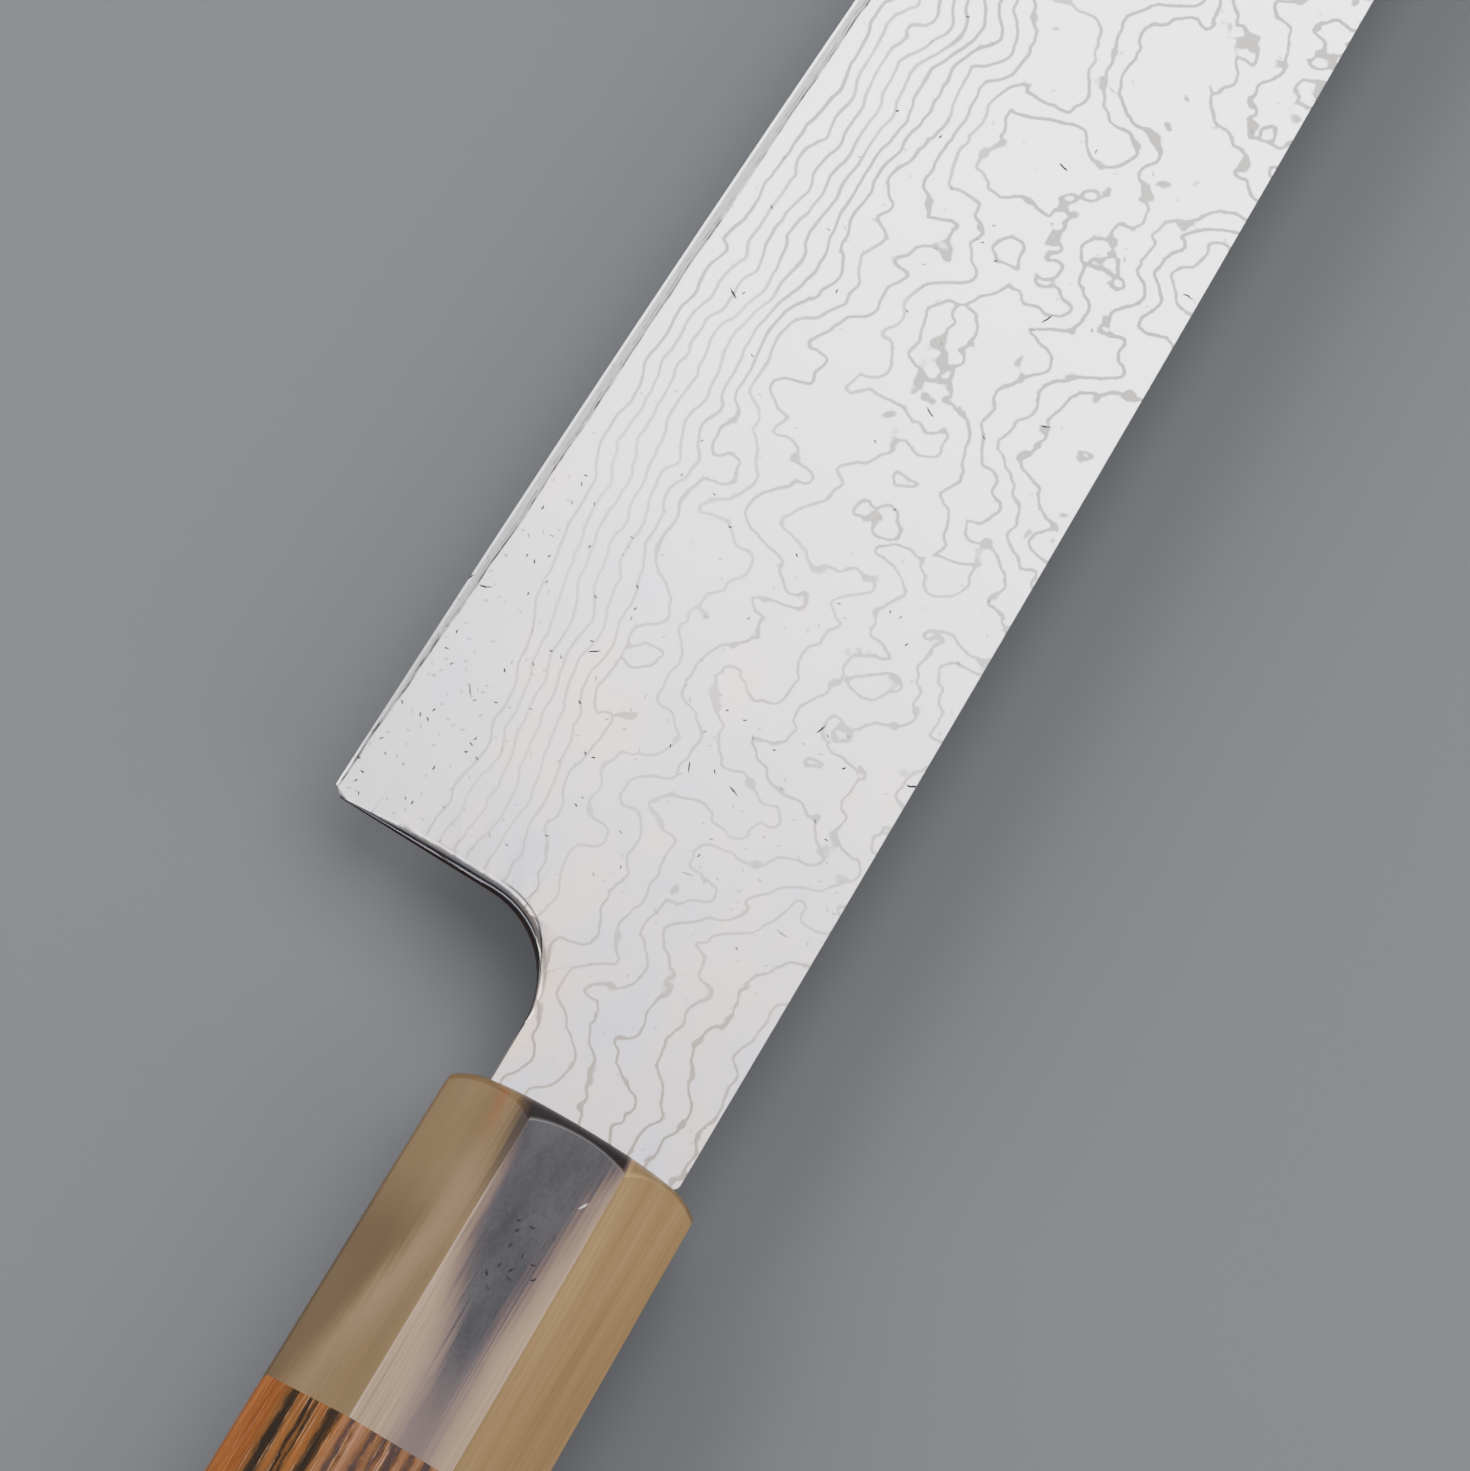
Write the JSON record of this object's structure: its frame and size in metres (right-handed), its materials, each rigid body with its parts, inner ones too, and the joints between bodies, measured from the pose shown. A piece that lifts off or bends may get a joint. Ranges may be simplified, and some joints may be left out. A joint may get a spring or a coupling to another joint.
{
  "type": "kitchen knife",
  "caption": "Double-bevel kiritsuke kitchen knife: layered steel blade with a slanted point and rounded choil, domed horn ferrule and tapered octagonal hardwood grip.",
  "frame": {"origin": "middle of the bottom of the knife's box, with the knife lying flat on its right side", "axes": "+X along the handle towards the point, +Y towards the cutting edge, +Z out of the left face of the blade"},
  "size_m": [0.3656, 0.0516, 0.0242],
  "materials": {
    "core_steel": "bright polish",
    "patterned_steel": "polished, with fine etched layer lines",
    "horn": "polished horn, slate grey to cream",
    "striped_wood": "oiled, dark stripes along the grain",
    "dowel_wood": "plain sanded",
    "bedding_resin": "dark resin"
  },
  "bodies": {
    "root": {"core_steel": "core_steel", "cladding_left": "patterned_steel", "cladding_right": "patterned_steel", "ferrule": "horn", "handle_grip": "striped_wood", "tang_dowel": "dowel_wood", "tang_bedding": "bedding_resin"}
  },
  "joints": []
}
